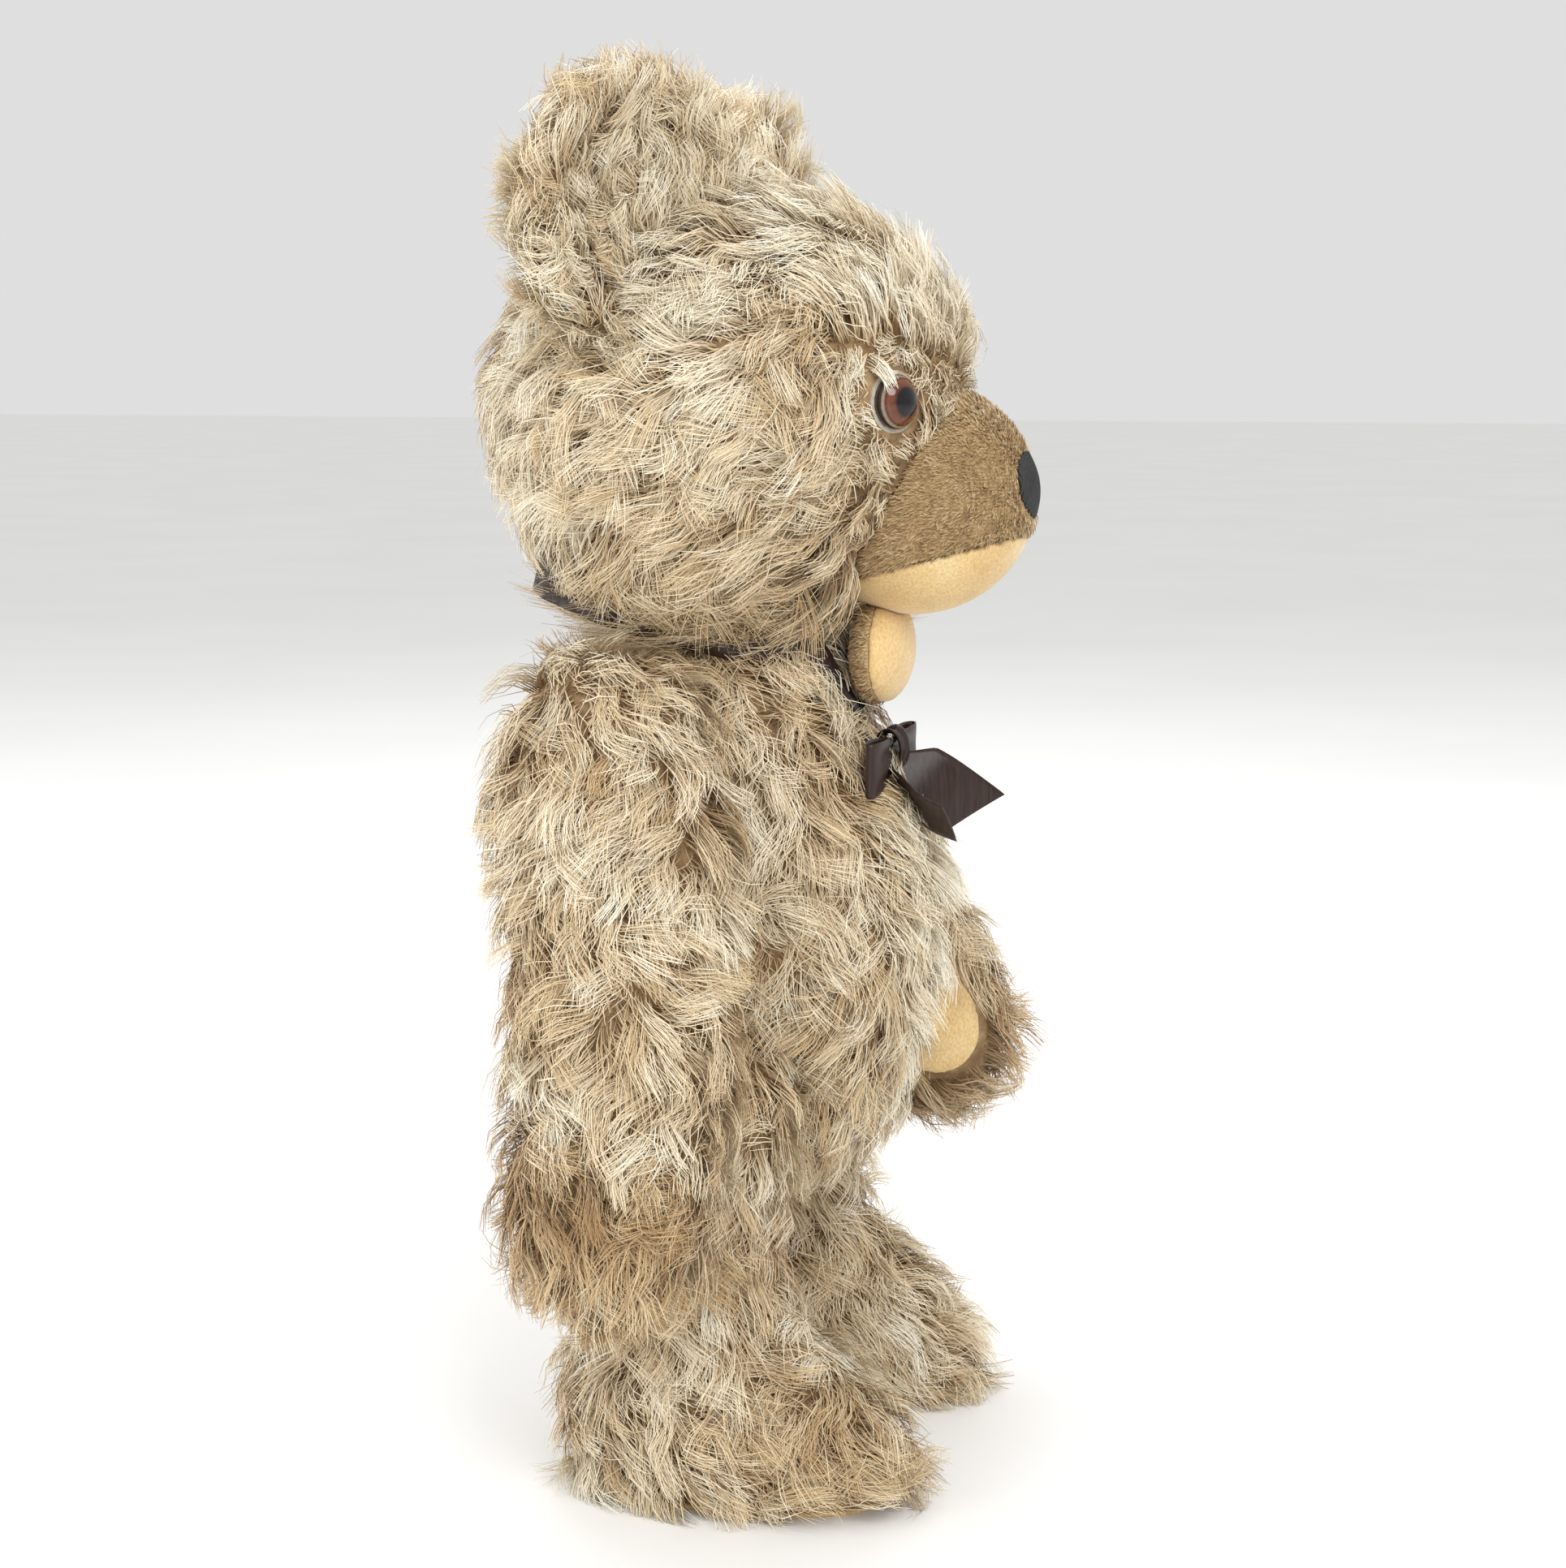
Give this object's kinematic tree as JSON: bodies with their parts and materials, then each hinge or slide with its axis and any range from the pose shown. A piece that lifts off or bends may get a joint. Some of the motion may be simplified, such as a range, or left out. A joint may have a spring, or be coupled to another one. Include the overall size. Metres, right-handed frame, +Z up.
{
  "type": "jointed teddy bear",
  "caption": "Standing plush bear with turning head, arms and legs on disc joints, open felt-lined mouth, glass eyes, cupped ears and a satin neck ribbon.",
  "frame": {"origin": "on the floor, under the middle of the bear's outline", "axes": "+Z up, the bear faces -Y, its right side is -X"},
  "size_m": [0.2272, 0.166, 0.4297],
  "materials": {
    "mohair": "matte",
    "short_pile": "matte",
    "felt": "matte",
    "nose_thread": "satin",
    "ribbon": "satin",
    "stuffing": "matte",
    "eye_glass": "gloss",
    "eye_rim": "matte",
    "fibreboard": "matte",
    "steel": "satin"
  },
  "bodies": {
    "torso": {"left_hip_pin": "steel", "left_hip_torso_disc": "fibreboard", "left_hip_torso_washer": "steel", "left_shoulder_pin": "steel", "left_shoulder_torso_disc": "fibreboard", "left_shoulder_torso_washer": "steel", "neck_pin": "steel", "neck_torso_disc": "fibreboard", "neck_torso_washer": "steel", "ribbon_band": "ribbon", "ribbon_bow": "ribbon", "ribbon_tail_left": "ribbon", "ribbon_tail_right": "ribbon", "right_hip_pin": "steel", "right_hip_torso_disc": "fibreboard", "right_hip_torso_washer": "steel", "right_shoulder_pin": "steel", "right_shoulder_torso_disc": "fibreboard", "right_shoulder_torso_washer": "steel", "torso_shell": "mohair", "torso_stuffing": "stuffing"},
    "head": {"head_shell": "mohair", "head_stuffing": "stuffing", "left_ear": "mohair", "left_eye_backing": "eye_rim", "left_eye_glass": "eye_glass", "left_eye_shank": "steel", "lower_jaw_felt": "felt", "lower_jaw_plush": "short_pile", "muzzle": "short_pile", "neck_head_disc": "fibreboard", "neck_head_washer": "steel", "nose_stitching": "nose_thread", "right_ear": "mohair", "right_eye_backing": "eye_rim", "right_eye_glass": "eye_glass", "right_eye_shank": "steel", "upper_mouth_felt": "felt"},
    "right_arm": {"right_arm_shell": "mohair", "right_arm_stuffing": "stuffing", "right_paw_pad": "felt", "right_shoulder_limb_disc": "fibreboard", "right_shoulder_limb_washer": "steel"},
    "left_arm": {"left_arm_shell": "mohair", "left_arm_stuffing": "stuffing", "left_paw_pad": "felt", "left_shoulder_limb_disc": "fibreboard", "left_shoulder_limb_washer": "steel"},
    "right_leg": {"right_foot_pad": "felt", "right_hip_limb_disc": "fibreboard", "right_hip_limb_washer": "steel", "right_leg_shell": "mohair", "right_leg_stuffing": "stuffing"},
    "left_leg": {"left_foot_pad": "felt", "left_hip_limb_disc": "fibreboard", "left_hip_limb_washer": "steel", "left_leg_shell": "mohair", "left_leg_stuffing": "stuffing"}
  },
  "joints": [
    {"name": "neck_turn", "type": "hinge", "parent": "torso", "child": "head", "pos_m": [0, 0.012, 0.274], "axis": [0, 0, 1], "range_deg": [-35, 35]},
    {"name": "right_shoulder", "type": "hinge", "parent": "torso", "child": "right_arm", "pos_m": [-0.0424, 0.036, 0.232], "axis": [-1, 0, 0], "range_deg": [-110, 110]},
    {"name": "left_shoulder", "type": "hinge", "parent": "torso", "child": "left_arm", "pos_m": [0.0424, 0.036, 0.232], "axis": [-1, 0, 0], "range_deg": [-130, 85]},
    {"name": "right_hip", "type": "hinge", "parent": "torso", "child": "right_leg", "pos_m": [-0.034, 0.014, 0.121], "axis": [-1, 0, 0], "range_deg": [-80, 90]},
    {"name": "left_hip", "type": "hinge", "parent": "torso", "child": "left_leg", "pos_m": [0.034, 0.014, 0.121], "axis": [-1, 0, 0], "range_deg": [-80, 90]}
  ]
}
